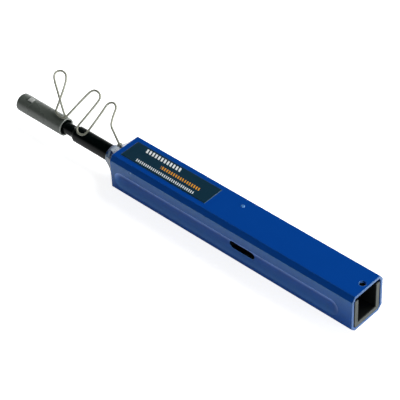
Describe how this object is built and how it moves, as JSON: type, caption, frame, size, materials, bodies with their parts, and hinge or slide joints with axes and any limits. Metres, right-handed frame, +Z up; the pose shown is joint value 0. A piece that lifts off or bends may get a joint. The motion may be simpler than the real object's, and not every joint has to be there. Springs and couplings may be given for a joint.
{
  "type": "fibre connector cleaner",
  "caption": "Push-type pen cleaner for 2.5 mm fibre connectors: square blue housing sliding over a core with thread reels, black nozzle and tethered grey guide cap.",
  "frame": {"origin": "on the housing's flat underside, at the centre of its straight part", "axes": "+X along the tool towards the cleaning tip, +Z up through the labelled cover, +Y towards the side with the oblong slot"},
  "size_m": [0.1876, 0.0242, 0.0227],
  "materials": {
    "housing_blue": "satin injection moulded, deep blue",
    "label_teal": "dark teal film, semi gloss",
    "natural_white": "natural acetal",
    "steel": "drawn steel",
    "tether_clear": "translucent polyurethane",
    "core_grey": "moulded mid grey",
    "nozzle_black": "moulded black",
    "cap_grey": "moulded dark grey",
    "insert_pale": "moulded pale grey",
    "thread_white": "fine woven cleaning thread",
    "thread_used": "used cleaning thread"
  },
  "bodies": {
    "housing": {"housing_base": "housing_blue", "housing_cover": "housing_blue", "label_plate": "label_teal", "rack_strip": "natural_white", "rack_pin": "housing_blue", "cam_pin": "steel", "cap_tether": "tether_clear"},
    "core": {"core_tray": "core_grey", "core_bridge": "core_grey", "nozzle_tube": "nozzle_black", "return_spring": "steel", "supply_axle": "steel", "takeup_axle": "steel", "thread_guide": "steel", "brake_washer": "natural_white", "thread_feed": "thread_white", "thread_return": "thread_used"},
    "supply_reel": {"supply_bobbin": "natural_white", "supply_thread": "thread_white"},
    "takeup_reel": {"takeup_bobbin": "natural_white", "takeup_thread": "thread_used"},
    "pinion": {"drive_pinion": "natural_white"},
    "rotor": {"cam_rotor": "natural_white", "head_shaft": "nozzle_black", "cleaning_head": "natural_white", "tip_thread": "thread_white"},
    "cap": {"guide_cap": "cap_grey", "cap_insert": "insert_pale"}
  },
  "joints": [
    {"name": "push_stroke", "type": "slide", "parent": "housing", "child": "core", "axis": [-1, 0, 0], "range_m": [0, 0.01], "stiffness_N_per_m": 400, "springref_m": -0.005, "deforming": ["return_spring", "cap_tether"]},
    {"name": "supply_turn", "type": "hinge", "parent": "core", "child": "supply_reel", "pos_m": [-0.0204, 0, 0.008], "axis": [0, 0, 1], "range_deg": [0, 148]},
    {"name": "takeup_turn", "type": "hinge", "parent": "core", "child": "takeup_reel", "pos_m": [-0.008, 0, 0.008], "axis": [0, 0, 1], "range_deg": [0, 191]},
    {"name": "pinion_turn", "type": "hinge", "parent": "core", "child": "pinion", "pos_m": [-0.008, 0, 0.0139], "axis": [0, 0, 1], "range_deg": [0, 191]},
    {"name": "head_turn", "type": "hinge", "parent": "core", "child": "rotor", "pos_m": [0.0174, 0, 0.0088], "axis": [1, 0, 0], "range_deg": [0, 180.01]},
    {"name": "cap_pull", "type": "slide", "parent": "core", "child": "cap", "axis": [1, 0, 0], "range_m": [0, 0.035]}
  ],
  "couplings": [
    {"joint": "supply_turn", "follows": "push_stroke", "rad_per_m": 257.58},
    {"joint": "takeup_turn", "follows": "push_stroke", "rad_per_m": 333.33},
    {"joint": "pinion_turn", "follows": "push_stroke", "rad_per_m": 333.33},
    {"joint": "head_turn", "follows": "push_stroke", "rad_per_m": 314.16}
  ]
}
